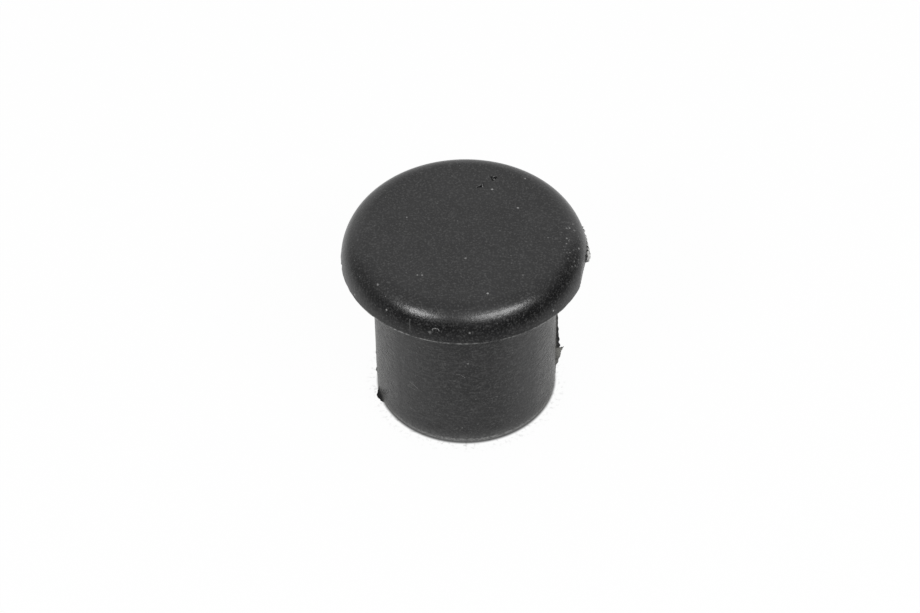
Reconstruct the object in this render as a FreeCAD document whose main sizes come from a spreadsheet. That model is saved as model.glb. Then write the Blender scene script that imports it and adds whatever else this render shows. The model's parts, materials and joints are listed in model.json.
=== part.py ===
import FreeCAD, Part
import enum
import math
import os
import Sketcher

# A moulded rubber plug for the end of a round tube, in one solid piece. The shank presses
# into the tube's bore and the mushroom head covers the tube's end. Millimetres, +Z up
# through the head. The origin is on the axis, in the plane of the head's underside, where
# the end of the tube seats.

# Each size has a name, a value and what it measures.
SIZES = [
    ("shankRadius", 12.7, "radius of the shank, a press fit in the tube's bore"),
    ("shankLength", 24.4, "from the head's underside to the foot"),
    ("footRadius", 0.7, "rounding of the shank's bottom edge"),
    ("headRadius", 16.9, "radius of the head at its lower rim"),
    ("headHeight", 4.6, "from the head's underside to its flat top"),
    ("shoulderWidth", 3.6, "from the edge of the flat top out to the rim"),
    ("trimDepth", 0.36, "how far the hand trim cuts into the rim"),
    ("trimWidth", 8.0, "length of the trimming cut along the rim"),
    ("trimReach", 2.0, "how far the trimming cut clears the rim"),
    ("trimAngle", -11.5, "where the cut lies round the rim, in degrees from +X"),
    ("flashLength", 2.7, "length of the torn flash along the rim, at the mould's parting line"),
    ("flashReach", 0.3, "how far the torn flash stands out from the rim"),
    ("flashHeight", 1.1, "height of the torn flash above the head's underside"),
    ("flashRoot", 0.5, "how far the torn flash is rooted in the head"),
    ("deepPitSize", 0.85, "width of the deep pit in the flat top"),
    ("deepPitDepth", 0.5, "depth of the deep pit"),
    ("deepPitInset", 1.9, "from the edge of the flat top in to the deep pit"),
    ("deepPitAngle", 68.3, "where the deep pit lies, in degrees from +X"),
    ("longPitSize", 1.15, "length of the long pit in the flat top"),
    ("longPitDepth", 0.3, "depth of the long pit"),
    ("longPitInset", 4.25, "from the edge of the flat top in to the long pit"),
    ("longPitAngle", 74.8, "where the long pit lies, in degrees from +X"),
]

# Where the torn flash begins and ends along the rim, and its ragged corners between them, as
# shares of its reach beyond the rim and of its length.
FLASH_ENDS = (0.33, -0.6)
FLASH_CORNERS = [(0.2, 0.3), (0.9, 0.12), (1.0, -0.15), (0.85, -0.36), (1.0, -0.46), (0.5, -0.52),
                 (0.62, -0.62), (-0.2, -0.68)]

# Corners of each pit about its middle, as shares of its size.
DEEP_PIT_CORNERS = [(-0.5, -0.1), (-0.1, -0.45), (0.35, -0.4), (0.5, 0.4), (0.1, 0.3), (-0.35, 0.35)]
LONG_PIT_CORNERS = [(-0.5, -0.2), (0.15, -0.12), (0.38, 0.06), (0.5, 0.3), (0.1, 0.14)]

SQUARE_ROOT_OF_HALF = math.sqrt(0.5)


class At(enum.IntEnum):
    """The numbers by which a sketch knows the points of a line or a curve."""
    START = 1
    END = 2
    MIDDLE = 3


class Axis(enum.IntEnum):
    """The numbers by which a sketch knows its own two axes."""
    ACROSS = -1
    UP = -2


ORIGIN = (Axis.ACROSS, At.START)


def make_sheet(doc):
    sheet = doc.addObject("Spreadsheet::Sheet", "Sizes")
    for row, (name, value, meaning) in enumerate(SIZES, start=1):
        sheet.set(f"A{row}", name)
        sheet.set(f"B{row}", str(value))
        sheet.set(f"C{row}", meaning)
        sheet.setAlias(f"B{row}", name)
    doc.recompute()
    return sheet


def origin_plane(body, role):
    return next(item for item in body.Origin.OriginFeatures if item.Role == role)


def make_sketch(body, name, role):
    sketch = body.newObject("Sketcher::SketchObject", name)
    sketch.AttachmentSupport = [(origin_plane(body, role), "")]
    sketch.MapMode = "FlatFace"
    return sketch


def point(across, up):
    return FreeCAD.Vector(across, up, 0)


def join(sketch, kind, *where):
    sketch.addConstraint(Sketcher.Constraint(kind, *where))


def drive(sketch, name, formula, kind, *where_and_value):
    """Adds a dimension and ties it to the sheet."""
    index = sketch.addConstraint(Sketcher.Constraint(kind, *where_and_value))
    sketch.renameConstraint(index, name)
    sketch.setExpression(f"Constraints.{name}", formula)


def closed_outline(sketch, corners):
    """Draws straight sides through the corners and joins them end to end."""
    lines = []
    for here, there in zip(corners, corners[1:] + corners[:1]):
        lines.append(sketch.addGeometry(Part.LineSegment(here, there), False))
    for line, following in zip(lines, lines[1:] + lines[:1]):
        join(sketch, "Coincident", line, At.END, following, At.START)
    return lines


def whole_form(body, size):
    """The plug turned about its axis: foot, shank, seat under the head, shoulder and flat top."""
    sketch = make_sketch(body, "Profile", "XZ_Plane")
    flat_radius = size["headRadius"] - size["shoulderWidth"]
    foot_middle = point(0, -size["shankLength"])
    top_middle = point(0, size["headHeight"])
    top_edge = point(flat_radius, size["headHeight"])
    shoulder_corner = point(size["headRadius"], size["headHeight"])
    rim = point(size["headRadius"], 0)
    seat_corner = point(size["shankRadius"], 0)
    foot_edge = point(size["shankRadius"], -size["shankLength"])

    axis = sketch.addGeometry(Part.LineSegment(foot_middle, top_middle), False)
    top = sketch.addGeometry(Part.LineSegment(top_middle, top_edge), False)
    # a quarter of an ellipse is exactly this curve of three poles
    poles = [top_edge, shoulder_corner, rim]
    weights = [1, SQUARE_ROOT_OF_HALF, 1]
    curve = Part.BSplineCurve(poles, None, None, False, 2, weights, False)
    shoulder = sketch.addGeometry(curve, False)
    seat = sketch.addGeometry(Part.LineSegment(rim, seat_corner), False)
    shank = sketch.addGeometry(Part.LineSegment(seat_corner, foot_edge), False)
    foot = sketch.addGeometry(Part.LineSegment(foot_edge, foot_middle), False)

    handles = []
    for number, (pole, weight) in enumerate(zip(poles, weights)):
        circle = Part.Circle(pole, FreeCAD.Vector(0, 0, 1), weight)
        handle = sketch.addGeometry(circle, True)
        sketch.addConstraint(Sketcher.Constraint("Weight", handle, weight))
        alignment = "InternalAlignment:Sketcher::BSplineControlPoint"
        sketch.addConstraint(Sketcher.Constraint(alignment, handle, At.MIDDLE, shoulder, number))
        handles.append(handle)

    outline = [axis, top, shoulder, seat, shank, foot]
    for line, following in zip(outline, outline[1:] + outline[:1]):
        join(sketch, "Coincident", line, At.END, following, At.START)
    join(sketch, "PointOnObject", axis, At.START, Axis.UP)
    join(sketch, "PointOnObject", axis, At.END, Axis.UP)
    join(sketch, "PointOnObject", seat, At.START, Axis.ACROSS)
    for line in (top, seat, foot):
        join(sketch, "Horizontal", line)
    join(sketch, "Vertical", shank)
    join(sketch, "Horizontal", top, At.END, handles[1], At.MIDDLE)
    join(sketch, "Vertical", shoulder, At.END, handles[1], At.MIDDLE)

    drive(sketch, "shankRadius", "Sizes.shankRadius",
          "DistanceX", *ORIGIN, shank, At.START, size["shankRadius"])
    drive(sketch, "shankLength", "Sizes.shankLength", "DistanceY", shank, At.END, shank, At.START,
          size["shankLength"])
    drive(sketch, "headRadius", "Sizes.headRadius",
          "DistanceX", *ORIGIN, shoulder, At.END, size["headRadius"])
    drive(sketch, "headHeight", "Sizes.headHeight",
          "DistanceY", *ORIGIN, top, At.END, size["headHeight"])
    drive(sketch, "shoulderWidth", "Sizes.shoulderWidth", "DistanceX", top, At.END, shoulder, At.END,
          size["shoulderWidth"])

    form = body.newObject("PartDesign::Revolution", "WholeForm")
    form.Profile = sketch
    form.ReferenceAxis = (sketch, ["V_Axis"])
    form.Angle = 360
    return form


def rounded_foot(body, form, size):
    """Rounds the bottom edge of the shank, so that it starts into the bore."""
    def is_foot_edge(edge):
        curve = edge.Curve
        return (isinstance(curve, Part.Circle)
                and math.isclose(curve.Radius, size["shankRadius"], abs_tol=1e-6)
                and math.isclose(curve.Center.z, -size["shankLength"], abs_tol=1e-6))

    edges = form.Shape.Edges
    names = [f"Edge{number}" for number, edge in enumerate(edges, start=1) if is_foot_edge(edge)]
    foot = body.newObject("PartDesign::Fillet", "RoundedFoot")
    foot.Base = (form, names)
    foot.setExpression("Radius", "Sizes.footRadius")
    return foot


def rim_trim(body, size):
    """A flat left on the rim where the moulding was trimmed by hand with a straight cut."""
    sketch = make_sketch(body, "TrimOutline", "XY_Plane")
    angle = math.radians(size["trimAngle"])
    outwards = point(math.cos(angle), math.sin(angle))
    along = point(-math.sin(angle), math.cos(angle))
    middle = outwards * (size["headRadius"] - size["trimDepth"])
    half = along * (size["trimWidth"] / 2)
    reach = outwards * size["trimReach"]

    guide = sketch.addGeometry(Part.LineSegment(point(0, 0), middle), True)
    corners = [middle - half, middle + half, middle + half + reach, middle - half + reach]
    cut, side, outer, other_side = closed_outline(sketch, corners)
    join(sketch, "Coincident", guide, At.START, *ORIGIN)
    join(sketch, "Symmetric", cut, At.START, cut, At.END, guide, At.END)
    join(sketch, "Perpendicular", guide, cut)
    join(sketch, "Perpendicular", cut, side)
    join(sketch, "Parallel", cut, outer)
    join(sketch, "Parallel", side, other_side)
    drive(sketch, "trimAngle", "Sizes.trimAngle * 1 deg", "Angle", guide, angle)
    drive(sketch, "trimDistance", "Sizes.headRadius - Sizes.trimDepth",
          "Distance", guide, middle.Length)
    drive(sketch, "trimWidth", "Sizes.trimWidth", "Distance", cut, size["trimWidth"])
    drive(sketch, "trimReach", "Sizes.trimReach", "Distance", side, size["trimReach"])

    trim = body.newObject("PartDesign::Pocket", "RimTrim")
    trim.Profile = sketch
    trim.Reversed = True
    trim.setExpression("Length", "Sizes.headHeight")
    return trim


def rim_flash(body, size):
    """The torn flap of rubber along the rim, where the two halves of the mould met."""
    sketch = make_sketch(body, "FlashOutline", "XY_Plane")
    root = -size["flashRoot"] / size["flashReach"]
    first, last = FLASH_ENDS
    shares = [(root, first)] + FLASH_CORNERS + [(root, last)]
    corners = [point(size["headRadius"] + out * size["flashReach"], along * size["flashLength"])
               for out, along in shares]
    lines = closed_outline(sketch, corners)
    for number, (line, corner, (out, along)) in enumerate(zip(lines, corners, shares)):
        reach = "-Sizes.flashRoot" if out == root else f"{out} * Sizes.flashReach"
        drive(sketch, f"out{number}", f"Sizes.headRadius + ({reach})",
              "DistanceX", *ORIGIN, line, At.START, corner.x)
        drive(sketch, f"along{number}", f"{along} * Sizes.flashLength",
              "DistanceY", *ORIGIN, line, At.START, corner.y)

    flash = body.newObject("PartDesign::Pad", "RimFlash")
    flash.Profile = sketch
    flash.setExpression("Length", "Sizes.flashHeight")
    return flash


def top_pit(body, size, name, shares):
    """A pit that trapped air left in the flat top, set in from the edge of the flat."""
    title = name[0].upper() + name[1:]
    sketch = make_sketch(body, title + "Outline", "XY_Plane")
    sketch.setExpression(".AttachmentOffset.Base.z", "Sizes.headHeight")
    span = size[f"{name}Size"]
    angle = math.radians(size[f"{name}Angle"])
    distance = size["headRadius"] - size["shoulderWidth"] - size[f"{name}Inset"]
    middle = point(distance * math.cos(angle), distance * math.sin(angle))
    corners = [middle + point(across * span, up * span) for across, up in shares]
    lines = closed_outline(sketch, corners)

    from_axis = f"(Sizes.headRadius - Sizes.shoulderWidth - Sizes.{name}Inset)"
    for number, (line, corner, (across, up)) in enumerate(zip(lines, corners, shares)):
        drive(sketch, f"across{number}",
              f"{from_axis} * cos(Sizes.{name}Angle * 1 deg) + ({across}) * Sizes.{name}Size",
              "DistanceX", *ORIGIN, line, At.START, corner.x)
        drive(sketch, f"up{number}",
              f"{from_axis} * sin(Sizes.{name}Angle * 1 deg) + ({up}) * Sizes.{name}Size",
              "DistanceY", *ORIGIN, line, At.START, corner.y)

    pit = body.newObject("PartDesign::Pocket", title)
    pit.Profile = sketch
    pit.setExpression("Length", f"Sizes.{name}Depth")
    return pit


def check_step(doc, body, feature, grows):
    """Recomputes, and makes sure that the new feature added or removed material."""
    before = body.Shape.Volume if body.Shape.Solids else 0.0
    body.Tip = feature
    doc.recompute()
    change = body.Shape.Volume - before
    print(f"{feature.Label}: volume changed by {change:.4f} mm3")
    if grows != (change > 0) or change == 0:
        raise RuntimeError(f"{feature.Label} did not change the solid as it should")


def check_document(doc, body):
    for item in doc.Objects:
        if "Invalid" in item.State or "Error" in item.State:
            raise RuntimeError(f"{item.Label} did not recompute: {item.State}")
        if item.TypeId == "Sketcher::SketchObject" and not item.FullyConstrained:
            raise RuntimeError(f"{item.Label} is not fully constrained")
    if body.Shape.isNull() or not body.Shape.isValid() or len(body.Shape.Solids) != 1:
        raise RuntimeError(f"{body.Label} is not one valid solid")


def main():
    os.makedirs("parts", exist_ok=True)
    doc = FreeCAD.newDocument("EndCap")
    sheet = make_sheet(doc)
    size = {name: float(sheet.get(name)) for name, _, _ in SIZES}

    body = doc.addObject("PartDesign::Body", "EndCap")
    body.Label = "end_cap"
    form = whole_form(body, size)
    check_step(doc, body, form, grows=True)
    check_step(doc, body, rounded_foot(body, form, size), grows=False)
    check_step(doc, body, rim_trim(body, size), grows=False)
    check_step(doc, body, rim_flash(body, size), grows=True)
    check_step(doc, body, top_pit(body, size, "deepPit", DEEP_PIT_CORNERS), grows=False)
    check_step(doc, body, top_pit(body, size, "longPit", LONG_PIT_CORNERS), grows=False)
    body.Placement = FreeCAD.Placement()
    doc.recompute()
    check_document(doc, body)

    body.Shape.exportStep(f"parts/{body.Label}.step")
    box = body.Shape.BoundBox
    print(f"{body.Label}: {box.XLength:.2f} x {box.YLength:.2f} x {box.ZLength:.2f} mm")


main()
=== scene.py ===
import json
import math

import bpy
import numpy as np
from mathutils import Matrix, Vector


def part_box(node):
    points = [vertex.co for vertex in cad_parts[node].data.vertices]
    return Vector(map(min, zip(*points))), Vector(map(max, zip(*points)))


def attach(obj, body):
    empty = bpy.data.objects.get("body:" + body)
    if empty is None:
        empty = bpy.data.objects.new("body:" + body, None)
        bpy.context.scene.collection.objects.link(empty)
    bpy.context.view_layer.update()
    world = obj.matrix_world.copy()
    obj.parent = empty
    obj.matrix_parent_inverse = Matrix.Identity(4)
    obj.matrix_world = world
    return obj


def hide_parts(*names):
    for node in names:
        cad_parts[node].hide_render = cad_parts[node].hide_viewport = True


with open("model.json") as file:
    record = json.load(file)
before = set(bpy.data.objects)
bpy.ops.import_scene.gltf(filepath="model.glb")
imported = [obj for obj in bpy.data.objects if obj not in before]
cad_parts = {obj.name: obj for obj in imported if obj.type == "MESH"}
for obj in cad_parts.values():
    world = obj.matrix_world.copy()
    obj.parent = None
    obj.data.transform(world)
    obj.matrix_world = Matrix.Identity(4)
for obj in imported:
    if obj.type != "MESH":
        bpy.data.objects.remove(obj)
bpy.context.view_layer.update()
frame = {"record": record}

mm = 0.001  # the frame is in metres, the sizes below are in millimetres
lowCorner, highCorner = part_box("end_cap")
mounts = {mount["name"]: mount for mount in frame["record"]["mounts"]}

# Azimuths are degrees round the plug's axis: 0 is +X, the side of the torn mould flash, and
# -90 is the side that faces the camera. Heights are measured from the head's underside.
plug = {
    "shankRadius": mounts["shank"]["dims"]["r_mm"],
    "footHeight": lowCorner.z / mm,
    "headRadius": -lowCorner.x / mm,
    "headHeight": highCorner.z / mm,
    "shoulderWidth": 3.6,  # from the edge of the flat top out to the rim
    "footRounding": 0.7,
    "seatCorner": 0.25,  # small fillet where the shank meets the head
    "shankSwell": 0.012,  # how uneven the moulded wall, the rim and the flat top are
    "shankRipple": 0.008,
    "rimUneven": 0.02,
    "topUneven": 0.012,
}

# the flat that a straight trimming cut left on the rim
trim = {"azimuth": -11.5, "depth": 0.36, "halfDegrees": 20, "roughness": 0.03}

# the thin line of flash along the bottom of the rim, torn off unevenly and scuffed pale; the pale line is
# partly a painted highlight, strongest where the left soft box shines on it
rimBead = {"height": 0.09, "halfThickness": 0.07, "reach": 0.05, "mean": 0.75, "uneven": 0.6, "most": 1.6}
rimScuffAndHighlight = {"height": 0.07, "halfThickness": 0.045, "share": 0.8, "azimuth": 222, "degrees": 22, "more": 0.9}

# the flap of torn flash on the rim: outline as (place along the rim, reach), from back to front
rimFlap = {
    "outline": [
        (4.6, -0.68), (3.6, -0.37), (2.6, -0.12), (1.6, 0.04), (0.7, 0.15), (0.1, 0.22), (-0.4, 0.27),
        (-0.75, 0.31), (-0.95, 0.22), (-1.1, 0.28), (-1.3, 0.16), (-1.5, 0.18), (-1.7, 0.05), (-1.86, -0.3),
    ],
    "height": 1.2,
    "solidHeight": 0.45,
    "tornTop": (0.18, 0.12),  # a long and a short wave along its torn edge
    "droop": 0.55,  # share of its height that it loses towards the back
    "crumple": 0.22,
    "paleBack": (5.2, 2.4),  # where the pale scuff on it begins and is full
    "paleFront": (-2.3, -1.85),
    "paleTop": (1.5, 0.7),
}

# the fin of torn flash down the shank at azimuth 0: (height, reach)
shankFin = {
    "outline": [
        (-0.3, 0.12), (-3.0, 0.16), (-5.5, 0.13), (-8.0, 0.2), (-11.9, 0.22), (-13.1, 0.23), (-14.7, 0.29),
        (-15.5, 0.38), (-16.1, 0.38), (-16.7, 0.44), (-17.5, 0.46), (-18.2, 0.55), (-18.6, 0.55),
        (-18.95, 0.98), (-19.2, 0.95), (-19.45, 0.80), (-20.0, 0.75), (-20.3, 0.6), (-20.6, 0.58),
        (-21.2, 0.40), (-21.5, 0.36), (-21.8, 0.29), (-22.1, 0.12), (-22.4, 0.06), (-23.4, 0.03),
    ],
    "halfThickness": 0.14,
    "flank": (0.3, 1.0),  # shares of that where its flank begins and ends
    "ragged": 0.22,
    "tipStart": 0.6,  # past this reach the torn tip bends upwards
    "tipRise": 1.3,
    "scuffed": (-21.8, -18.7),  # between these heights the torn side is scuffed grey
    "scuffShare": 0.45,
    "ridgeReach": 0.05,  # low ridge that the fin stands on, where the mould's halves met
    "ridgeHalfWidth": 0.34,
    "ridgeFlank": (0.25, 1.0),
}

# the thin trimmed line on the other side, at azimuth 180: (height, reach)
shankLine = {
    "outline": [
        (-0.3, 0.04), (-6.0, 0.06), (-10.0, 0.03), (-16.4, 0.04), (-18.6, 0.06), (-18.9, 0.12), (-19.2, 0.05),
        (-20.5, 0.07), (-21.9, 0.05), (-22.25, 0.16), (-22.5, 0.2), (-22.8, 0.05), (-24.0, 0.02),
    ],
    "halfThickness": 0.3,
    "flank": (0.3, 1.0),
}

# the torn nub on the foot's edge: reach by azimuth, and its share by height above the foot
footNub = {
    "reach": [
        (189.5, 0.0), (191.5, 0.16), (193.5, 0.3), (195.0, 0.46), (196.3, 0.56), (197.6, 0.46),
        (198.6, 0.3), (199.8, 0.34), (201.0, 0.16), (202.5, 0.06), (203.5, 0.0),
    ],
    "share": [(0.0, 0.7), (0.25, 1.0), (0.7, 0.9), (1.0, 0.5), (1.25, 0.0)],
    "ragged": 0.25,
}

# how pale the shank is scuffed, by height above the foot and to each side of the parting lines; the pale ring
# at the foot's edge is partly a painted highlight
footScuffAndHighlight = [(0.0, 0.75), (0.25, 0.65), (0.5, 0.28), (0.75, 0.4), (1.0, 0.13), (1.6, 0.07), (2.6, 0.0)]
partingScuff = {"fin": {"share": 0.4, "degrees": 7.0}, "line": {"share": 0.3, "degrees": 11.0}}

# small nick in the rim at the head's left
rimNick = {"azimuth": 186.0, "halfWidth": 0.9, "depth": 0.22, "height": 0.9}

# pits that trapped air left in the flat top
deepPit = {
    "centre": (4.24, 10.52),
    "radius": 0.4,
    "ragged": (0.16, 0.1),  # how uneven its outline is, in three and in seven waves
    "wall": (1.08, 0.72),  # shares of the radius where its wall begins and ends
    "depth": 0.5,
    "island": (4.3, 10.3),  # a bit of rubber left standing in it
    "islandRadius": 0.2,
    "islandWall": (1.2, 0.6),
    "islandHeight": 0.95,  # as a share of the pit's depth
}
longPit = {
    "thinEnd": (1.72, 8.60),
    "wideEnd": (2.66, 8.93),
    "thinRadius": 0.1,
    "wideRadius": 0.25,
    "wall": (1.15, 0.55),
    "depth": 0.4,
    "thinDepth": 0.45,  # how deep its thin end is, as a share of that
}


def smoothStep(low, high, value):
    share = np.clip((value - low) / (high - low), 0, 1)
    return share * share * (3 - 2 * share)


def readOutline(outline, where):
    # straight stretches between the outline's points, which may run either way
    points = np.array(sorted(outline))
    return np.interp(where, points[:, 0], points[:, 1])


def columnAzimuths():
    # columns lie closer together where something is torn, cut or pitted: (from, to, step)
    closeUps = [
        (-25, -21, 0.4), (-21, -8, 0.9), (-8, 8, 0.22), (8, 17, 0.5), (-0.9, 0.9, 0.09),
        (64, 79, 0.32), (178.6, 181.4, 0.14), (183, 189, 0.5), (189, 208, 0.6),
    ]
    widest = 1.5
    azimuths = []
    azimuth = -30.0
    while azimuth < 330 - widest / 3:
        azimuths.append(azimuth)
        azimuth += min([step for start, end, step in closeUps if start <= azimuth < end], default=widest)
    return np.array(azimuths)


def spread(start, end, step):
    return list(np.linspace(start, end, max(2, round(abs(end - start) / step) + 1)))


def profileRings():
    # (radius, height) of each ring, from the middle of the foot out, up and in to the middle of the top
    shankRadius, foot = plug["shankRadius"], plug["footHeight"]
    headRadius, headHeight, shoulder = plug["headRadius"], plug["headHeight"], plug["shoulderWidth"]
    rounding, corner = plug["footRounding"], plug["seatCorner"]
    rings = [(radius, foot) for radius in (3.0, 6.0, 9.0, 11.0)]
    for angle in np.linspace(0, math.pi / 2, 9):
        radius = shankRadius - rounding + rounding * math.sin(angle)
        rings.append((radius, foot + rounding * (1 - math.cos(angle))))

    # rings lie closest along the wall where the fin, the line and the nub are torn
    heights = spread(foot + rounding, -17.6, 0.14)[1:]
    heights += spread(-17.6, -11.2, 0.25)[1:] + spread(-11.2, -corner, 0.6)[1:]
    rings += [(shankRadius, height) for height in heights]
    for angle in np.linspace(0, math.pi / 2, 5)[1:]:
        rings.append((shankRadius + corner * (1 - math.cos(angle)), -corner + corner * math.sin(angle)))
    rings += [(radius, 0.0) for radius in np.linspace(shankRadius + corner, headRadius - 0.3, 5)[1:]]

    # the rim's lower edge is worn round, then the shoulder is a quarter of an ellipse
    rings += [(headRadius - 0.12, 0.0), (headRadius - 0.03, 0.015), (headRadius, 0.06)]
    firstAngle = math.asin(0.12 / headHeight)
    for angle in np.linspace(firstAngle, math.pi / 2, 38):
        rings.append((headRadius - shoulder + shoulder * math.cos(angle), headHeight * math.sin(angle)))

    # rings of the flat top lie closest where its two pits are
    flatRadius = headRadius - shoulder
    inwards = spread(flatRadius, 12.0, 0.4)[1:] + spread(12.0, 10.9, 0.07)[1:] + spread(10.9, 9.5, 0.35)[1:]
    inwards += spread(9.5, 8.5, 0.07)[1:] + spread(8.5, 0.6, 0.6)[1:]
    rings += [(radius, headHeight) for radius in inwards]
    return np.array(rings)


def wobble(angle, orders, seed):
    # smooth unevenness round the plug, between about -1 and 1
    draw = np.random.default_rng(seed)
    total = np.zeros_like(angle)
    for order in orders:
        total += draw.uniform(0.3, 1.0) * np.sin(order * angle + draw.uniform(0, 2 * math.pi))
    return total / math.sqrt(len(orders))


def shapeShank(radius, height, azimuth):
    angle = np.radians(azimuth)
    belowSeat = smoothStep(-0.05, -0.4, height)
    swell = plug["shankSwell"] * wobble(angle, (2, 3, 5, 7), 11) * np.sin(height / 4.1)
    swell = swell + plug["shankRipple"] * wobble(angle, (9, 13, 17), 12)
    radius = radius + swell * belowSeat

    along = np.abs(angle) * plug["shankRadius"]
    torn = 1 + shankFin["ragged"] * np.sin(height * 8.3) * np.sin(height * 13.9 + 1.0)
    reach = readOutline(shankFin["outline"], height) * torn * belowSeat
    fin = reach * (1 - smoothStep(*shankFin["flank"], along / shankFin["halfThickness"]))
    ridge = 1 - smoothStep(*shankFin["ridgeFlank"], along / shankFin["ridgeHalfWidth"])
    ridge = shankFin["ridgeReach"] * ridge * belowSeat
    height = height + np.clip(fin - shankFin["tipStart"], 0, None) * shankFin["tipRise"]

    along = np.abs(angle - math.pi) * plug["shankRadius"]
    reach = readOutline(shankLine["outline"], height) * belowSeat
    line = reach * (1 - smoothStep(*shankLine["flank"], along / shankLine["halfThickness"]))

    aboveFoot = height - plug["footHeight"]
    nub = readOutline(footNub["reach"], azimuth) * readOutline(footNub["share"], aboveFoot)
    ragged = 1 + footNub["ragged"] * np.sin(azimuth * 4.1 + 3.0 * aboveFoot)
    nub = np.clip(nub * ragged, 0, None)
    # the nub fills the foot's rounding
    filled = np.clip(nub / 0.15, 0, 1) * (plug["shankRadius"] - radius).clip(0)
    return radius + fin + ridge + line + nub + filled, height, fin, nub


def shapeHead(radius, height, azimuth):
    angle = np.radians(azimuth)
    headRadius = plug["headRadius"]
    nearRim = smoothStep(3.4, 0.2, height) * smoothStep(headRadius - 3.0, headRadius - 0.5, radius)
    radius = radius + plug["rimUneven"] * wobble(angle, (3, 4, 7), 21) * nearRim

    beadShape = np.exp(-((height - rimBead["height"]) / rimBead["halfThickness"]) ** 2)
    beadShape = beadShape * smoothStep(headRadius - 0.25, headRadius - 0.05, radius)
    unevenBead = rimBead["mean"] + rimBead["uneven"] * wobble(angle, (17, 29, 43, 61), 22)
    radius = radius + rimBead["reach"] * beadShape * np.clip(unevenBead, 0, rimBead["most"])

    nick = rimNick["depth"] * np.exp(-((azimuth - rimNick["azimuth"]) / rimNick["halfWidth"]) ** 2)
    nick = nick * smoothStep(rimNick["height"], 0.1, height)
    radius = radius - nick * smoothStep(headRadius - 1.5, headRadius - 0.3, radius)

    turned = angle - math.radians(trim["azimuth"])
    reachOfCut = (headRadius - trim["depth"]) / np.maximum(np.cos(turned), 0.5)
    cutMarks = trim["roughness"] * np.sin(azimuth * 2.3 + height * 1.7) * np.sin(azimuth * 5.1 - height * 4.0)
    reachOfCut = reachOfCut + cutMarks
    cut = (np.abs(turned) < math.radians(trim["halfDegrees"])) & (radius > reachOfCut)
    radius = np.where(cut, reachOfCut, radius)

    place = headRadius * np.sin(angle)
    ahead = np.cos(angle) > 0
    back, front = rimFlap["outline"][0][0], rimFlap["outline"][-1][0]
    reach = readOutline(rimFlap["outline"], place)
    longWave, shortWave = rimFlap["tornTop"]
    tornTop = longWave * np.sin(place * 7.0 + 0.6) + shortWave * np.sin(place * 17.0)
    lower = 1 - rimFlap["droop"] * smoothStep(0.3, 4.0, place)
    standing = smoothStep(rimFlap["height"] + tornTop, rimFlap["solidHeight"] + tornTop, height / lower)
    crumpled = 1 + rimFlap["crumple"] * np.sin(place * 23.0 + height * 9.0)
    flapRadius = (headRadius + reach * crumpled * standing) / np.cos(np.where(ahead, angle, 0))
    inFlap = ahead & (place < back) & (place > front) & (radius > headRadius - 0.6) & (standing > 0.02)
    outwards = np.where(inFlap & (flapRadius > radius), flapRadius - radius, 0)
    return radius + outwards * np.clip(standing * 3, 0, 1)


def pitDepth(x, y):
    centreX, centreY = deepPit["centre"]
    angle = np.arctan2(y - centreY, x - centreX)
    threeWaves, sevenWaves = deepPit["ragged"]
    ragged = 1 + threeWaves * np.sin(3 * angle + 0.7) + sevenWaves * np.sin(7 * angle)
    far = np.hypot(x - centreX, y - centreY) / (deepPit["radius"] * ragged)
    deep = deepPit["depth"] * smoothStep(*deepPit["wall"], far)
    islandX, islandY = deepPit["island"]
    fromIsland = np.hypot(x - islandX, y - islandY) / deepPit["islandRadius"]
    deep = deep * (1 - deepPit["islandHeight"] * smoothStep(*deepPit["islandWall"], fromIsland))

    start, end = np.array(longPit["thinEnd"]), np.array(longPit["wideEnd"])
    run = end - start
    share = np.clip(((x - start[0]) * run[0] + (y - start[1]) * run[1]) / (run @ run), 0, 1)
    width = longPit["thinRadius"] + (longPit["wideRadius"] - longPit["thinRadius"]) * share
    far = np.hypot(x - start[0] - share * run[0], y - start[1] - share * run[1]) / width
    depthShare = longPit["thinDepth"] + (1 - longPit["thinDepth"]) * share
    shallow = longPit["depth"] * smoothStep(*longPit["wall"], far) * depthShare
    return np.maximum(deep, shallow)


def unevenTop(x, y):
    return plug["topUneven"] * (np.sin(x / 3.1 + 0.4) * np.sin(y / 3.7) + 0.5 * np.sin(x / 1.3 - y / 1.9))


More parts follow.
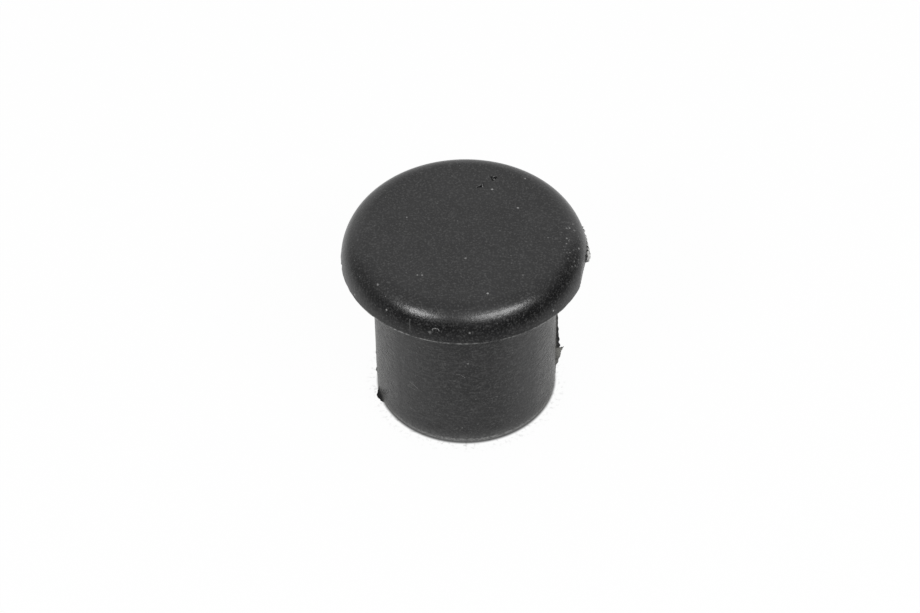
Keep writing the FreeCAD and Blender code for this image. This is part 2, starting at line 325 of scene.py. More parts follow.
def surfaceShares(radius, height, azimuth, fin, nub):
    # what the material needs to know of each place, as shares from 0 to about 1
    angle = np.radians(azimuth)
    atRight = np.cos(angle) > 0
    place = plug["headRadius"] * np.sin(angle)
    torn = smoothStep(*rimFlap["paleBack"], place) * smoothStep(*rimFlap["paleFront"], place) * atRight
    torn = torn * smoothStep(*rimFlap["paleTop"], height)
    torn = torn * (height >= 0) * (radius > plug["headRadius"] - 0.12)

    # the rim's edge line: pale scuffing and a painted highlight, most towards the left soft box
    rimEdge = np.exp(-((height - rimScuffAndHighlight["height"]) / rimScuffAndHighlight["halfThickness"]) ** 2)
    rimEdge = rimEdge * (radius > plug["headRadius"] - 0.15)
    palest = np.exp(-((azimuth - rimScuffAndHighlight["azimuth"]) / rimScuffAndHighlight["degrees"]) ** 2)
    rimEdge = rimEdge * (rimScuffAndHighlight["share"] + rimScuffAndHighlight["more"] * palest)
    # pale ring at the foot: scuffing and a painted highlight along the top of its rounding
    footEdge = readOutline(footScuffAndHighlight, height - plug["footHeight"])

    scuffLow, scuffHigh = shankFin["scuffed"]
    onSpike = smoothStep(scuffLow - 0.3, scuffLow, height) * smoothStep(scuffHigh + 0.3, scuffHigh, height)
    sideways = np.minimum(np.abs(azimuth), np.abs(azimuth - 180))
    atFin, atLine = [scuff["share"] * np.exp(-(sideways / scuff["degrees"]) ** 2)
                     for scuff in (partingScuff["fin"], partingScuff["line"])]
    parting = np.where(atRight, atFin, atLine) * (height < -0.3) * (fin < 0.04)
    parting = np.maximum(parting, onSpike * np.clip(fin / 0.3, 0, shankFin["scuffShare"]))

    # the nub and the fin are freshly torn, so they are dull and free of dust; on the nub this clean black is
    # also painted shade on its underside
    fresh = np.clip(nub / 0.12 + np.clip(fin / 0.1, 0, 0.7) * (1 - onSpike), 0, 1)
    return {"torn": torn, "fresh": fresh, "rimEdge": rimEdge, "footEdge": footEdge, "partingLine": parting}


def makePlug():
    rings = profileRings()
    azimuths = columnAzimuths()
    radius, azimuth = np.meshgrid(rings[:, 0], azimuths, indexing="ij")
    height = np.repeat(rings[:, 1][:, None], len(azimuths), axis=1)
    fin = np.zeros_like(radius)
    nub = np.zeros_like(radius)

    onShank = (rings[:, 1] < 0) & (rings[:, 0] <= plug["shankRadius"] + plug["seatCorner"])
    onShank &= rings[:, 0] > plug["shankRadius"] - plug["footRounding"] - 0.01
    shaped = shapeShank(radius[onShank], height[onShank], azimuth[onShank])
    radius[onShank], height[onShank], fin[onShank], nub[onShank] = shaped
    onHead = (rings[:, 1] >= 0) & (rings[:, 0] > plug["headRadius"] - plug["shoulderWidth"])
    radius[onHead] = shapeHead(radius[onHead], height[onHead], azimuth[onHead])

    x = radius * np.cos(np.radians(azimuth))
    y = radius * np.sin(np.radians(azimuth))
    onTop = rings[:, 1] > plug["headHeight"] - 0.3
    height[onTop] += (unevenTop(x, y) - pitDepth(x, y))[onTop]

    # a grid of rings and columns, closed by a fan of triangles in the middle of each end
    ringCount, columnCount = radius.shape
    points = np.stack([x, y, height], axis=-1).reshape(-1, 3)
    footMiddle, topMiddle = len(points), len(points) + 1
    ends = [(0, 0, plug["footHeight"]), (0, 0, plug["headHeight"])]
    points = np.vstack([points, ends]) * mm
    numbers = np.arange(ringCount * columnCount).reshape(ringCount, columnCount)
    following = np.roll(numbers, -1, axis=1)
    quads = np.stack([numbers[:-1], following[:-1], following[1:], numbers[1:]], axis=-1)
    faces = quads.reshape(-1, 4).tolist()
    faces += [(footMiddle, there, here) for here, there in zip(numbers[0].tolist(), following[0].tolist())]
    faces += [(topMiddle, here, there) for here, there in zip(numbers[-1].tolist(), following[-1].tolist())]

    mesh = bpy.data.meshes.new("end_cap_rubber")
    mesh.from_pydata(points.tolist(), [], faces)
    mesh.shade_smooth()
    mesh.set_sharp_from_angle(angle=math.radians(55))
    for name, share in surfaceShares(radius, height, azimuth, fin, nub).items():
        attribute = mesh.attributes.new(name, "FLOAT", "POINT")
        attribute.data.foreach_set("value", np.append(share.reshape(-1), [0, 0]).astype(np.float32))
    mesh.validate()
    piece = bpy.data.objects.new("end_cap_rubber", mesh)
    bpy.context.scene.collection.objects.link(piece)
    triangles = sum(len(face) - 2 for face in faces)
    print("plug:", ringCount, "rings,", columnCount, "columns,", triangles, "triangles")
    return piece


def linearColour(hexText):
    parts = [int(hexText[start:start + 2], 16) / 255 for start in (1, 3, 5)]
    return [part / 12.92 if part <= 0.04045 else ((part + 0.055) / 1.055) ** 2.4 for part in parts] + [1.0]


def addNode(tree, kind, inputs=None, **settings):
    node = tree.nodes.new(kind)
    for name, value in settings.items():
        setattr(node, name, value)
    for socket, value in (inputs or {}).items():
        if isinstance(value, bpy.types.NodeSocket):
            tree.links.new(value, node.inputs[socket])
        else:
            node.inputs[socket].default_value = value
    return node


# Moulded nitrile rubber, black from carbon filler. The mould's surface was bead blasted, so the
# skin is satin: soft highlights, grey edges at a slant, and pale talc and dust caught on it.
rubber = {
    "colour": "#0a0a0b",
    "dust": "#959594",
    # dust on the shank's sides, which also stands in as painted sheen on their grazing edges
    "sideDust": "#96958f",
    "flash": "#aeaeac",
    "ior": 1.45,
    "roughness": 0.265,
    "speckRoughness": 0.5,  # what a dust speck adds
    "freshRoughness": 0.6,  # what freshly torn rubber adds
    "grainMm": 0.26,
    "grainDepthMm": 0.012,
    "speckDepth": 0.8,  # this depth and those below are shares of the grain's depth
    "wrinkleDepth": 3.0,  # of the skin's dimples and wrinkles
    "wallWrinkles": 1.5,  # what the shank's wall adds to it
    "sideWrinkles": 14.0,  # what the shank's sides add to it
    "rubbedDepth": 14.0,  # of the streaks rubbed into the shank's sides
    "wrinklesPerMm": 1.5,
    "streakMm": 1.2,
    "streakFlatness": 3.5,
    "sidesFromMm": 9.0,  # how far from the middle the shank's sides begin
    "sidesFullMm": 12.6,
    "filmMm": 5.0,  # size of the clouds in the dust film
    "cloudDust": 0.01,  # how thick the film lies in its clouds
    "grainDust": 0.11,  # on the grain
    "wallDust": 0.05,  # in streaks on the shank's wall
    "sideWrinkleDust": 0.06,  # on the wrinkles of the shank's sides, as dust and painted sheen
    "sideStreakDust": 0.12,  # in streaks on them
}

# loose dust: how far the specks lie apart, how large the largest is, and how pale
dustLayers = {
    "fine": {"spacingMm": 0.7, "radiusMm": 0.14, "share": 0.8, "strength": 0.2},
    "coarse": {"spacingMm": 1.5, "radiusMm": 0.19, "share": 0.45, "strength": 0.36},
    "shoulder": {"spacingMm": 0.5, "radiusMm": 0.2, "share": 1.0, "strength": 0.7},
}

# within a layer: the smallest speck and the faintest, as shares of the largest and the palest
dustSpeck = {"smallest": 0.3, "faintest": 0.15, "softEdgeMm": 0.07}

# the fine and coarse specks gather in clusters: how strong they are between and within them
dustClusters = {"perMm": 0.45, "between": 0.25, "within": 1.5}

# where dust lies thickest: the right of the shoulder
dustPatch = {"azimuth": -8.0, "height": 3.9, "radiusMm": 5.0, "fullMm": 2.0}

# single marks: the share of the radius that is fully pale, and how uneven the outline is
markEdge = {"core": 0.45, "unevenMm": 0.22, "unevenPerMm": 4.0}


def onTopFace(x, y):
    return (x, y, plug["headHeight"])


def onShoulder(azimuth, height):
    drop = math.sqrt(1 - (height / plug["headHeight"]) ** 2)
    radius = plug["headRadius"] - plug["shoulderWidth"] * (1 - drop)
    return (radius * math.cos(math.radians(azimuth)), radius * math.sin(math.radians(azimuth)), height)


def onShankWall(azimuth, height):
    radius = plug["shankRadius"]
    return (radius * math.cos(math.radians(azimuth)), radius * math.sin(math.radians(azimuth)), height)


def markPlaces():
    # single marks that stand out: (place, radius in mm, how pale)
    marks = [
        (onTopFace(3.98, 8.2), 0.2, 0.6),
        # pale on the pit's island: partly a speck, partly a painted highlight where the island catches the
        # light
        (onTopFace(*deepPit["island"]), 0.14, 0.4),
        (onTopFace(8.6, 10.25), 0.16, 0.5),
        (onTopFace(7.45, 4.4), 0.2, 0.5),
        (onTopFace(0.15, -5.25), 0.2, 0.35),
        (onTopFace(-6.36, -8.3), 0.17, 0.35),
        (onTopFace(-5.7, -8.35), 0.17, 0.4),
        (onTopFace(7.75, -8.65), 0.17, 0.22),
        (onShoulder(-141, 4.06), 0.2, 0.38),
        (onShoulder(-152, 0.75), 0.2, 0.5),
        (onShoulder(-130, 2.38), 0.2, 0.45),
        (onShoulder(-45.6, 1.1), 0.2, 0.6),
        (onShoulder(-88.3, 1.85), 0.2, 0.32),
        (onShoulder(-106.7, 1.5), 0.28, 0.2),
        (onShankWall(-89, -8.2), 0.22, 0.3),
    ]
    for step in range(7):  # pale crescent on the front of the shoulder
        turn = math.radians(20 + 24 * step)
        marks.append((onShoulder(-104 + 1.6 * math.cos(turn), 1.85 + 0.34 * math.sin(turn)), 0.09, 0.55))
    for step in range(9):  # upright pale scratch beside it
        marks.append((onShoulder(-117 + 0.1 * step, 2.5 - 0.2 * step), 0.09, 0.26))
    for step in range(8):  # short curved scratches on the shank
        marks.append((onShankWall(-96 + 0.7 * step, -10.35 - 0.012 * step ** 2), 0.08, 0.38))
        marks.append((onShankWall(-128 + 0.8 * step, -14.5 - 0.07 * step), 0.09, 0.42))
        marks.append((onShankWall(-130 + 0.9 * step, -15.5 - 0.02 * step), 0.08, 0.26))
        marks.append((onShankWall(-100 + 1.2 * step, -3.6), 0.07, 0.22))
        marks.append((onShankWall(-132 + 1.1 * step, -19.6 - 0.06 * step), 0.08, 0.24))
    return marks


def addDustSpecks(tree, inMm):
    # one speck in some cells of each layer, its size and paleness drawn by the cell
    clusters = addNode(tree, "ShaderNodeTexNoise", {
        "Vector": inMm, "Scale": dustClusters["perMm"], "Detail": 2.0}).outputs["Fac"]
    clusters = addNode(tree, "ShaderNodeMapRange", {
        "Value": clusters, "From Min": 0.38, "From Max": 0.6,
        "To Min": dustClusters["between"], "To Max": dustClusters["within"]}).outputs[0]
    patchCentre = onShoulder(dustPatch["azimuth"], dustPatch["height"])
    patchFar = addNode(tree, "ShaderNodeVectorMath", {0: inMm, 1: patchCentre}, operation="DISTANCE")
    patch = addNode(tree, "ShaderNodeMapRange", {
        "Value": patchFar.outputs["Value"], "From Min": dustPatch["radiusMm"],
        "From Max": dustPatch["fullMm"]}).outputs[0]
    specks = None
    for name, layer in dustLayers.items():
        spacing, radius, strength = layer["spacingMm"], layer["radiusMm"], layer["strength"]
        cells = addNode(tree, "ShaderNodeTexVoronoi", {"Vector": inMm, "Scale": 1 / spacing})
        draw = addNode(tree, "ShaderNodeSeparateColor", {0: cells.outputs["Color"]})
        size = addNode(tree, "ShaderNodeMapRange", {
            "Value": draw.outputs[0], "From Min": 1 - layer["share"], "From Max": 1.0,
            "To Min": dustSpeck["smallest"] * radius / spacing, "To Max": radius / spacing}).outputs[0]
        inside = addNode(tree, "ShaderNodeMath", {0: size, 1: cells.outputs["Distance"]},
                         operation="SUBTRACT").outputs[0]
        soft = addNode(tree, "ShaderNodeMapRange", {
            "Value": inside, "From Min": 0.0, "From Max": dustSpeck["softEdgeMm"] / spacing}).outputs[0]
        pale = addNode(tree, "ShaderNodeMath", {0: draw.outputs[1], 1: 2.0}, operation="POWER").outputs[0]
        pale = addNode(tree, "ShaderNodeMapRange", {
            "Value": pale, "To Min": dustSpeck["faintest"] * strength, "To Max": strength}).outputs[0]
        speck = addNode(tree, "ShaderNodeMath", {0: soft, 1: pale}, operation="MULTIPLY").outputs[0]
        where = patch if name == "shoulder" else clusters
        speck = addNode(tree, "ShaderNodeMath", {0: speck, 1: where}, operation="MULTIPLY").outputs[0]
        if specks is not None:
            speck = addNode(tree, "ShaderNodeMath", {0: specks, 1: speck}, operation="MAXIMUM").outputs[0]
        specks = speck
    return specks


def addMarks(tree, inMm, specks):
    # single marks, their outlines made uneven by a fine noise
    jitter = addNode(tree, "ShaderNodeTexNoise", {
        "Vector": inMm, "Scale": markEdge["unevenPerMm"], "Detail": 2.0}).outputs["Color"]
    jitter = addNode(tree, "ShaderNodeVectorMath", {0: jitter, 1: (0.5, 0.5, 0.5)},
                     operation="SUBTRACT").outputs[0]
    jitter = addNode(tree, "ShaderNodeVectorMath", {"Vector": jitter, "Scale": markEdge["unevenMm"]},
                     operation="SCALE").outputs[0]
    uneven = addNode(tree, "ShaderNodeVectorMath", {0: inMm, 1: jitter}, operation="ADD").outputs[0]
    for where, radius, paleness in markPlaces():
        far = addNode(tree, "ShaderNodeVectorMath", {0: uneven, 1: where}, operation="DISTANCE")
        mark = addNode(tree, "ShaderNodeMapRange", {
            "Value": far.outputs["Value"], "From Min": radius, "From Max": radius * markEdge["core"],
            "To Max": paleness}).outputs[0]
        specks = addNode(tree, "ShaderNodeMath", {0: specks, 1: mark}, operation="MAXIMUM").outputs[0]
    return specks


def addScuffs(tree, film, crumble):
    # torn flash, the thin edges of the rim and the foot, and the parting lines are scuffed pale; on the edges
    # of the rim and the foot the pale is also a painted highlight
    torn = addNode(tree, "ShaderNodeAttribute", attribute_name="torn").outputs["Fac"]
    torn = addNode(tree, "ShaderNodeMath", {0: torn, 1: crumble}, operation="ADD").outputs[0]
    torn = addNode(tree, "ShaderNodeMapRange", {"Value": torn, "From Min": 0.85, "From Max": 1.15}).outputs[0]
    tornBits = addNode(tree, "ShaderNodeMapRange", {
        "Value": crumble, "From Min": 0.4, "From Max": 0.58, "To Min": 0.25}).outputs[0]
    torn = addNode(tree, "ShaderNodeMath", {0: torn, 1: tornBits}, operation="MULTIPLY").outputs[0]

    patches = addNode(tree, "ShaderNodeMapRange", {
        "Value": film, "From Min": 0.38, "From Max": 0.62, "To Min": 0.25}).outputs[0]
    rimBits = addNode(tree, "ShaderNodeMapRange", {
        "Value": crumble, "From Min": 0.4, "From Max": 0.58, "To Min": 0.4, "To Max": 1.4}).outputs[0]
    rim = addNode(tree, "ShaderNodeAttribute", attribute_name="rimEdge").outputs["Fac"]
    rim = addNode(tree, "ShaderNodeMath", {0: rim, 1: patches}, operation="MULTIPLY").outputs[0]
    rim = addNode(tree, "ShaderNodeMath", {0: rim, 1: rimBits}, operation="MULTIPLY",
                  use_clamp=True).outputs[0]
    # pale ring at the foot, part scuffing and part painted highlight
    footBits = addNode(tree, "ShaderNodeMapRange", {
        "Value": crumble, "From Min": 0.42, "From Max": 0.6, "To Min": 0.55, "To Max": 1.25}).outputs[0]
    foot = addNode(tree, "ShaderNodeAttribute", attribute_name="footEdge").outputs["Fac"]
    foot = addNode(tree, "ShaderNodeMath", {0: foot, 1: footBits}, operation="MULTIPLY").outputs[0]
    edges = addNode(tree, "ShaderNodeMath", {0: rim, 1: foot}, operation="MAXIMUM").outputs[0]

    parting = addNode(tree, "ShaderNodeAttribute", attribute_name="partingLine").outputs["Fac"]
    parting = addNode(tree, "ShaderNodeMath", {0: parting, 1: patches}, operation="MULTIPLY").outputs[0]
    return torn, edges, parting


def makeRubber():
    material = bpy.data.materials.new("moulded_nitrile_rubber")
    material.use_nodes = True
    tree = material.node_tree
    tree.nodes.clear()
    place = addNode(tree, "ShaderNodeTexCoord").outputs["Object"]
    inMm = addNode(tree, "ShaderNodeVectorMath", {"Vector": place, "Scale": 1 / mm},
                   operation="SCALE").outputs[0]
    film = addNode(tree, "ShaderNodeTexNoise", {
        "Vector": inMm, "Scale": 1 / rubber["filmMm"], "Detail": 6.0, "Roughness": 0.62}).outputs["Fac"]
    grain = addNode(tree, "ShaderNodeTexNoise", {
        "Vector": inMm, "Scale": 1 / rubber["grainMm"], "Detail": 3.0, "Roughness": 0.6}).outputs["Fac"]
    wrinkles = addNode(tree, "ShaderNodeTexNoise", {
        "Vector": inMm, "Scale": rubber["wrinklesPerMm"], "Detail": 4.0, "Roughness": 0.65}).outputs["Fac"]
    flattened = addNode(tree, "ShaderNodeVectorMath", {0: inMm, 1: (1.0, 1.0, rubber["streakFlatness"])},
                        operation="MULTIPLY").outputs[0]
    streak = addNode(tree, "ShaderNodeTexNoise", {
        "Vector": flattened, "Scale": 1 / rubber["streakMm"], "Detail": 4.0}).outputs["Fac"]
    crumble = addNode(tree, "ShaderNodeTexNoise", {
        "Vector": inMm, "Scale": 3.2, "Detail": 2.0}).outputs["Fac"]

    specks = addMarks(tree, inMm, addDustSpecks(tree, inMm))
    torn, edges, parting = addScuffs(tree, film, crumble)
    # the pale edges of the rim and the foot, scuffing and painted highlight, join the specks
    specks = addNode(tree, "ShaderNodeMath", {0: specks, 1: edges}, operation="MAXIMUM").outputs[0]

    # shares of the shank, below the seat, and of its two sides, towards the parting lines
    axes = addNode(tree, "ShaderNodeSeparateXYZ", {0: inMm})
    below = addNode(tree, "ShaderNodeMapRange", {
        "Value": axes.outputs["Z"], "From Min": -0.1, "From Max": -0.5}).outputs[0]
    aside = addNode(tree, "ShaderNodeMath", {0: axes.outputs["X"]}, operation="ABSOLUTE").outputs[0]
    aside = addNode(tree, "ShaderNodeMapRange", {
        "Value": aside, "From Min": rubber["sidesFromMm"], "From Max": rubber["sidesFullMm"]}).outputs[0]
    sides = addNode(tree, "ShaderNodeMath", {0: aside, 1: below}, operation="MULTIPLY").outputs[0]

    # under the specks lies a thin uneven film of dust, streaked on the shank
    filmShare = addNode(tree, "ShaderNodeMapRange", {
        "Value": film, "From Min": 0.45, "From Max": 0.75, "To Max": rubber["cloudDust"]}).outputs[0]
    grainShare = addNode(tree, "ShaderNodeMapRange", {
        "Value": grain, "From Min": 0.5, "From Max": 0.75, "To Max": rubber["grainDust"]}).outputs[0]
    filmShare = addNode(tree, "ShaderNodeMath", {0: filmShare, 1: grainShare}, operation="ADD").outputs[0]
    streakShare = addNode(tree, "ShaderNodeMapRange", {
        "Value": streak, "From Min": 0.5, "From Max": 0.72, "To Max": rubber["wallDust"]}).outputs[0]
    streakShare = addNode(tree, "ShaderNodeMath", {0: streakShare, 1: below}, operation="MULTIPLY").outputs[0]
    filmShare = addNode(tree, "ShaderNodeMath", {0: filmShare, 1: streakShare}, operation="ADD").outputs[0]

    # and it is thicker on the shank's sides, where it is also a painted sheen along the grazing edges, and
    # along the parting lines
    wrinkleDustAndSheen = addNode(tree, "ShaderNodeMapRange", {
        "Value": wrinkles, "From Min": 0.4, "From Max": 0.68, "To Max": rubber["sideWrinkleDust"]}).outputs[0]
    streakDustAndSheen = addNode(tree, "ShaderNodeMapRange", {
        "Value": streak, "From Min": 0.45, "From Max": 0.7, "To Max": rubber["sideStreakDust"]}).outputs[0]
    sideDust = addNode(tree, "ShaderNodeMath", {0: wrinkleDustAndSheen, 1: streakDustAndSheen}, operation="ADD").outputs[0]
    sideDust = addNode(tree, "ShaderNodeMath", {0: sides, 1: sideDust}, operation="MULTIPLY").outputs[0]
    filmShare = addNode(tree, "ShaderNodeMath", {0: filmShare, 1: sideDust}, operation="ADD").outputs[0]
    filmShare = addNode(tree, "ShaderNodeMath", {0: filmShare, 1: parting}, operation="ADD").outputs[0]
    dustAndPaintedLight = addNode(tree, "ShaderNodeMath", {0: filmShare, 1: specks}, operation="MAXIMUM",
                    use_clamp=True).outputs[0]
    # torn nub and fin left clean black, on the nub partly as painted shade
    fresh = addNode(tree, "ShaderNodeAttribute", attribute_name="fresh").outputs["Fac"]
    settled = addNode(tree, "ShaderNodeMath", {0: 1.0, 1: fresh}, operation="SUBTRACT",
                      use_clamp=True).outputs[0]
    dustAndPaintedLight = addNode(tree, "ShaderNodeMath", {0: dustAndPaintedLight, 1: settled}, operation="MULTIPLY").outputs[0]

    # the dust's colour, warmer on the shank's sides, where it is also painted sheen
    dustAndSheenColour = addNode(tree, "ShaderNodeMix", {
        "Factor": sides, 6: linearColour(rubber["dust"]), 7: linearColour(rubber["sideDust"])},
        data_type="RGBA").outputs[2]
    colour = addNode(tree, "ShaderNodeMix", {
        "Factor": dustAndPaintedLight, 6: linearColour(rubber["colour"]), 7: dustAndSheenColour}, data_type="RGBA").outputs[2]
    colour = addNode(tree, "ShaderNodeMix", {
        "Factor": torn, 6: colour, 7: linearColour(rubber["flash"])}, data_type="RGBA").outputs[2]

    rough = addNode(tree, "ShaderNodeMapRange", {
        "Value": film, "From Min": 0.3, "From Max": 0.7,
        "To Min": rubber["roughness"] - 0.03, "To Max": rubber["roughness"] + 0.05}).outputs[0]
    rough = addNode(tree, "ShaderNodeMath", {0: specks, 1: rubber["speckRoughness"], 2: rough},
                    operation="MULTIPLY_ADD", use_clamp=True).outputs[0]
    rough = addNode(tree, "ShaderNodeMath", {0: fresh, 1: rubber["freshRoughness"], 2: rough},
                    operation="MULTIPLY_ADD", use_clamp=True).outputs[0]

    # relief finer than the mesh: grain, specks, wrinkles and rubbed streaks
    relief = addNode(tree, "ShaderNodeMath", {0: specks, 1: rubber["speckDepth"], 2: grain},
                     operation="MULTIPLY_ADD").outputs[0]
    wrinkled = addNode(tree, "ShaderNodeMath", {
        0: aside, 1: rubber["sideWrinkles"], 2: rubber["wallWrinkles"]},
        operation="MULTIPLY_ADD").outputs[0]
    wrinkled = addNode(tree, "ShaderNodeMath", {0: wrinkled, 1: below, 2: rubber["wrinkleDepth"]},
                       operation="MULTIPLY_ADD").outputs[0]
    relief = addNode(tree, "ShaderNodeMath", {0: wrinkles, 1: wrinkled, 2: relief},
                     operation="MULTIPLY_ADD").outputs[0]
    rubbed = addNode(tree, "ShaderNodeMath", {0: sides, 1: rubber["rubbedDepth"]},
                     operation="MULTIPLY").outputs[0]
    relief = addNode(tree, "ShaderNodeMath", {0: streak, 1: rubbed, 2: relief},
                     operation="MULTIPLY_ADD").outputs[0]
    bump = addNode(tree, "ShaderNodeBump", {
        "Strength": 1.0, "Distance": rubber["grainDepthMm"] * mm, "Height": relief}).outputs[0]
    surface = addNode(tree, "ShaderNodeBsdfPrincipled", {
        "Base Color": colour, "Roughness": rough, "IOR": rubber["ior"], "Normal": bump})
    addNode(tree, "ShaderNodeOutputMaterial", {"Surface": surface.outputs[0]})
    return material


# White sweep under the plug and a studio that is white all round. Seen in the rubber only, a dark sheet of
# painted shade lies on the floor and stands low round the front, for the dark room and the camera's shadow on
# the paper in front, and two soft boxes shine over it.
studio = {
    "floorWidthMm": 4000,
    "floorColour": "#c0c0c0",
    "floorGlow": 0.965,  # as the camera sees it
    "floorGlowInRubber": 0.2,  # as the rubber mirrors it
    "crumbs": 0.3,  # how dark the painted speckle of shadow round the foot is
    "crumbsPerMm": 1.8,
    "crumbsReachMm": 1.9,  # how far from the foot's edge it lies
    "contactMm": 0.3,  # how far the painted contact shadow spreads past the foot's edge
    "contactLight": 0.1,  # what is left of the floor's glow in it
    "gauzeColour": "#080808",
    "gauzeLiftMm": 0.5,  # off the floor
    "gauzeRadiusMm": 900,
    "gauzeStepDegrees": 3.0,
    "worldStrength": 0.93,
}

# round the plug, the painted shade: (azimuth, how dense it is, where on the floor it begins and where it is
# full, in mm from the axis, up to which elevation it is full and where it ends, in degrees)
reflectedShadeOutline = [
    (-225, 0.0, 60, 400, 15, 50),
    (-205, 0.5, 60, 400, 20, 50),
    (-180, 0.55, 60, 500, 22, 42),
    (-150, 0.9, 35, 300, 15, 38),
    (-95, 0.95, 14, 210, 17, 38),
    (-60, 0.97, 14, 210, 15, 45),
    (-30, 1.0, 35, 250, 13, 55),
    (-5, 1.0, 60, 300, 13, 60),
    (20, 0.85, 60, 300, 25, 58),
    (36, 0.5, 80, 300, 22, 60),
    (48, 0.0, 100, 300, 20, 60),
]

softBoxes = {
    "soft_box_left": {
        "azimuth": -134, "elevation": 37, "distanceMm": 700, "widthMm": 210, "tallMm": 100, "watts": 1.96},
    "soft_box_right": {
        "azimuth": -55, "elevation": 44, "distanceMm": 700, "widthMm": 420, "tallMm": 130, "watts": 3.66},
}


def direction(azimuth, elevation):
    turn, rise = math.radians(azimuth), math.radians(elevation)
    return Vector((math.cos(turn) * math.cos(rise), math.sin(turn) * math.cos(rise), math.sin(rise)))


def makePaper():
    # Matt white paper, uncoated: it has no sheen, and in this light it burns out to plain white.
    # Only a painted contact shadow and a painted speckle of shadow round the foot are darker.
    material = bpy.data.materials.new("white_paper")
    material.use_nodes = True
    tree = material.node_tree
    tree.nodes.clear()
    place = addNode(tree, "ShaderNodeTexCoord").outputs["Object"]
    inMm = addNode(tree, "ShaderNodeVectorMath", {"Vector": place, "Scale": 1 / mm},
                   operation="SCALE").outputs[0]
    flat = addNode(tree, "ShaderNodeVectorMath", {0: inMm, 1: (1.0, 1.0, 0.0)},
                   operation="MULTIPLY").outputs[0]
    fromAxis = addNode(tree, "ShaderNodeVectorMath", {0: flat}, operation="LENGTH").outputs["Value"]
    footEdge = plug["shankRadius"]
    # painted contact shadow: the glow falls off towards the foot's edge
    paintedContactShadow = addNode(tree, "ShaderNodeMapRange", {
        "Value": fromAxis, "From Min": footEdge - 0.2, "From Max": footEdge + studio["contactMm"],
        "To Min": studio["contactLight"]}, interpolation_type="SMOOTHSTEP").outputs[0]
    # painted shadow: a grey speckle on the paper close round the foot
    crumbs = addNode(tree, "ShaderNodeTexNoise", {
        "Vector": inMm, "Scale": studio["crumbsPerMm"], "Detail": 3.0}).outputs["Fac"]
    crumbs = addNode(tree, "ShaderNodeMapRange", {
        "Value": crumbs, "From Min": 0.54, "From Max": 0.72, "To Max": studio["crumbs"]}).outputs[0]
    nearFoot = addNode(tree, "ShaderNodeMapRange", {
        "Value": fromAxis, "From Min": footEdge + studio["crumbsReachMm"],
        "From Max": footEdge + studio["contactMm"]}).outputs[0]
    crumbs = addNode(tree, "ShaderNodeMath", {0: crumbs, 1: nearFoot}, operation="MULTIPLY").outputs[0]
    bare = addNode(tree, "ShaderNodeMath", {0: 1.0, 1: crumbs}, operation="SUBTRACT").outputs[0]
    lit = addNode(tree, "ShaderNodeMath", {0: paintedContactShadow, 1: bare}, operation="MULTIPLY").outputs[0]

    paper = addNode(tree, "ShaderNodeBsdfDiffuse", {"Color": linearColour(studio["floorColour"])})
    glow = addNode(tree, "ShaderNodeEmission", {"Color": lit, "Strength": 1.0})
    rays = addNode(tree, "ShaderNodeLightPath")
    seen = addNode(tree, "ShaderNodeMath", {0: rays.outputs["Is Camera Ray"], 1: studio["floorGlow"]},
                   operation="MULTIPLY").outputs[0]
    share = addNode(tree, "ShaderNodeMath", {
        0: rays.outputs["Is Glossy Ray"], 1: studio["floorGlowInRubber"], 2: seen},
        operation="MULTIPLY_ADD").outputs[0]
    mixed = addNode(tree, "ShaderNodeMixShader", {0: share, 1: paper.outputs[0], 2: glow.outputs[0]})
    addNode(tree, "ShaderNodeOutputMaterial", {"Surface": mixed.outputs[0]})
    return material


def makeFloor():
    half = studio["floorWidthMm"] * mm / 2
    level = plug["footHeight"] * mm
    corners = [(-half, -half, level), (half, -half, level), (half, half, level), (-half, half, level)]
    mesh = bpy.data.meshes.new("floor")
    mesh.from_pydata(corners, [], [(0, 1, 2, 3)])
    mesh.materials.append(makePaper())
    floor = bpy.data.objects.new("floor", mesh)
    bpy.context.scene.collection.objects.link(floor)


def makeReflectedShadeSheet():
    # Painted shade, seen only in the rubber: a matt black sheet without sheen, fading to see-through where
    # the white shows past it.
    material = bpy.data.materials.new("dark_gauze")
    material.use_nodes = True
    tree = material.node_tree
    tree.nodes.clear()
    darkSheet = addNode(tree, "ShaderNodeBsdfDiffuse", {"Color": linearColour(studio["gauzeColour"])})
    seeThrough = addNode(tree, "ShaderNodeBsdfTransparent")
    cover = addNode(tree, "ShaderNodeAttribute", attribute_name="cover").outputs["Fac"]
    mixed = addNode(tree, "ShaderNodeMixShader", {0: cover, 1: seeThrough.outputs[0], 2: darkSheet.outputs[0]})
    addNode(tree, "ShaderNodeOutputMaterial", {"Surface": mixed.outputs[0]})
    return material


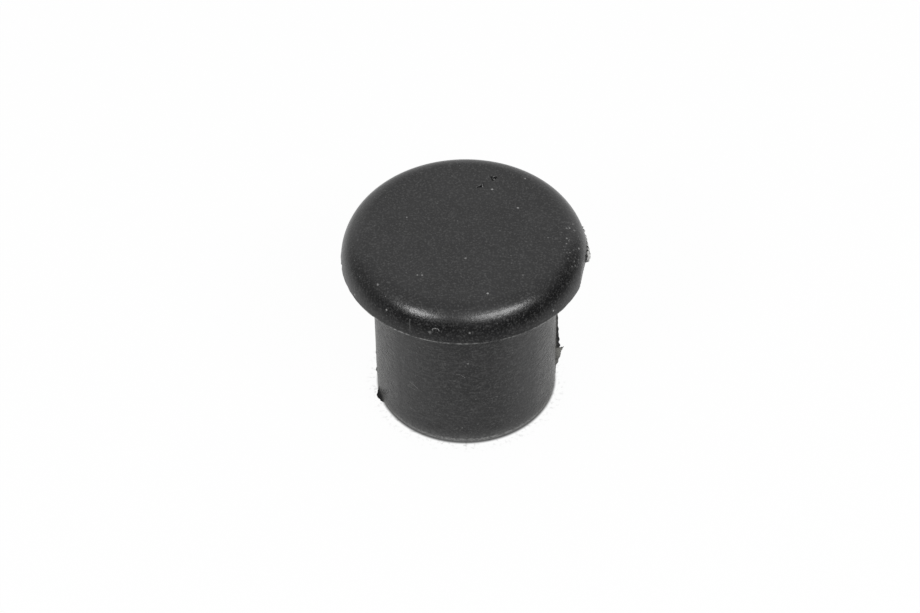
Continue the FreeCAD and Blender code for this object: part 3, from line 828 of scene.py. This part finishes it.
def makeReflectedShadeScreen():
    outline = np.array(reflectedShadeOutline, float)
    azimuths = np.arange(outline[0, 0], outline[-1, 0] + 1, studio["gauzeStepDegrees"])
    parts = [np.interp(azimuths, outline[:, 0], part) for part in outline[:, 1:].T]
    dense, begins, full, fullRise, endRise = parts
    wall, level = studio["gauzeRadiusMm"], plug["footHeight"] + studio["gauzeLiftMm"]
    turn = np.radians(azimuths)
    steps = np.linspace(0, 1, 9)

    # out along the floor, then up the wall: (distance, height, share of the density)
    rows = []
    for step in steps:
        rows.append((begins * (full / begins) ** step, np.full_like(turn, level), np.full_like(turn, step)))
    rows.append((np.full_like(turn, wall), np.full_like(turn, level), np.ones_like(turn)))
    for step in steps:
        rise = np.radians(fullRise + (endRise - fullRise) * step)
        fading = 1 - smoothStep(0, 1, step)
        rows.append((np.full_like(turn, wall), wall * np.tan(rise), np.full_like(turn, fading)))
    points = np.concatenate([np.stack([distance * np.cos(turn), distance * np.sin(turn), height], axis=-1)
                             for distance, height, share in rows])
    cover = np.concatenate([share * dense for distance, height, share in rows])
    numbers = np.arange(len(points)).reshape(len(rows), len(azimuths))
    quads = np.stack([numbers[:-1, :-1], numbers[:-1, 1:], numbers[1:, 1:], numbers[1:, :-1]], axis=-1)

    mesh = bpy.data.meshes.new("dark_gauze")
    mesh.from_pydata((points * mm).tolist(), [], quads.reshape(-1, 4).tolist())
    attribute = mesh.attributes.new("cover", "FLOAT", "POINT")
    attribute.data.foreach_set("value", cover.astype(np.float32))
    mesh.materials.append(makeReflectedShadeSheet())
    screen = bpy.data.objects.new("dark_gauze", mesh)
    bpy.context.scene.collection.objects.link(screen)
    screen.visible_camera = False
    screen.visible_diffuse = False
    screen.visible_shadow = False
    screen.visible_transmission = False


def makeSoftBoxes():
    for name, box in softBoxes.items():
        light = bpy.data.lights.new(name, "AREA")
        light.shape = "RECTANGLE"
        light.size = box["widthMm"] * mm
        light.size_y = box["tallMm"] * mm
        light.energy = box["watts"]
        lamp = bpy.data.objects.new(name, light)
        towards = direction(box["azimuth"], box["elevation"])
        lamp.location = towards * box["distanceMm"] * mm
        lamp.rotation_euler = (-towards).to_track_quat("-Z", "Y").to_euler()
        lamp.visible_camera = False
        bpy.context.scene.collection.objects.link(lamp)


def makeWorld():
    world = bpy.data.worlds.new("white_studio")
    world.use_nodes = True
    tree = world.node_tree
    tree.nodes.clear()
    white = addNode(tree, "ShaderNodeBackground", {
        "Color": (1.0, 1.0, 1.0, 1.0), "Strength": studio["worldStrength"]})
    addNode(tree, "ShaderNodeOutputWorld", {"Surface": white.outputs[0]})
    bpy.context.scene.world = world


# the photograph's view: how far the camera looks down, its small tilt, and where it aims
shot = {
    "distanceMm": 386.0,
    "downDegrees": 45.475,
    "tiltDegrees": -1.026,
    "aimMm": (-0.728, 0.0, -9.984),
    "lensMm": 108.22,
    "sensorMm": 36.0,
}


def makeCamera():
    down, tilt = math.radians(shot["downDegrees"]), math.radians(shot["tiltDegrees"])
    forward = Vector((0, math.cos(down), -math.sin(down)))
    level = Vector((1, 0, 0))
    rise = level.cross(forward)
    right = level * math.cos(tilt) + rise * math.sin(tilt)
    up = rise * math.cos(tilt) - level * math.sin(tilt)
    data = bpy.data.cameras.new("camera")
    data.sensor_width = shot["sensorMm"]
    data.lens = shot["lensMm"]
    data.clip_start = 0.01
    data.clip_end = 20
    camera = bpy.data.objects.new("camera", data)
    turned = Matrix((right, up, -forward)).transposed().to_4x4()
    turned.translation = (Vector(shot["aimMm"]) - forward * shot["distanceMm"]) * mm
    camera.matrix_world = turned
    bpy.context.scene.collection.objects.link(camera)
    bpy.context.scene.camera = camera


piece = makePlug()
piece.data.materials.append(makeRubber())
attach(piece, "root")
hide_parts("end_cap")
print("plug: rubber done")

makeFloor()
# the dark sheet of painted shade, seen only in the rubber
makeReflectedShadeScreen()
makeSoftBoxes()
makeWorld()
# gauze in the printed text below is the sheet of painted shade
print("studio: floor, gauze and lamps done")

makeCamera()
bpy.context.scene.view_settings.view_transform = "Standard"
print("camera done")
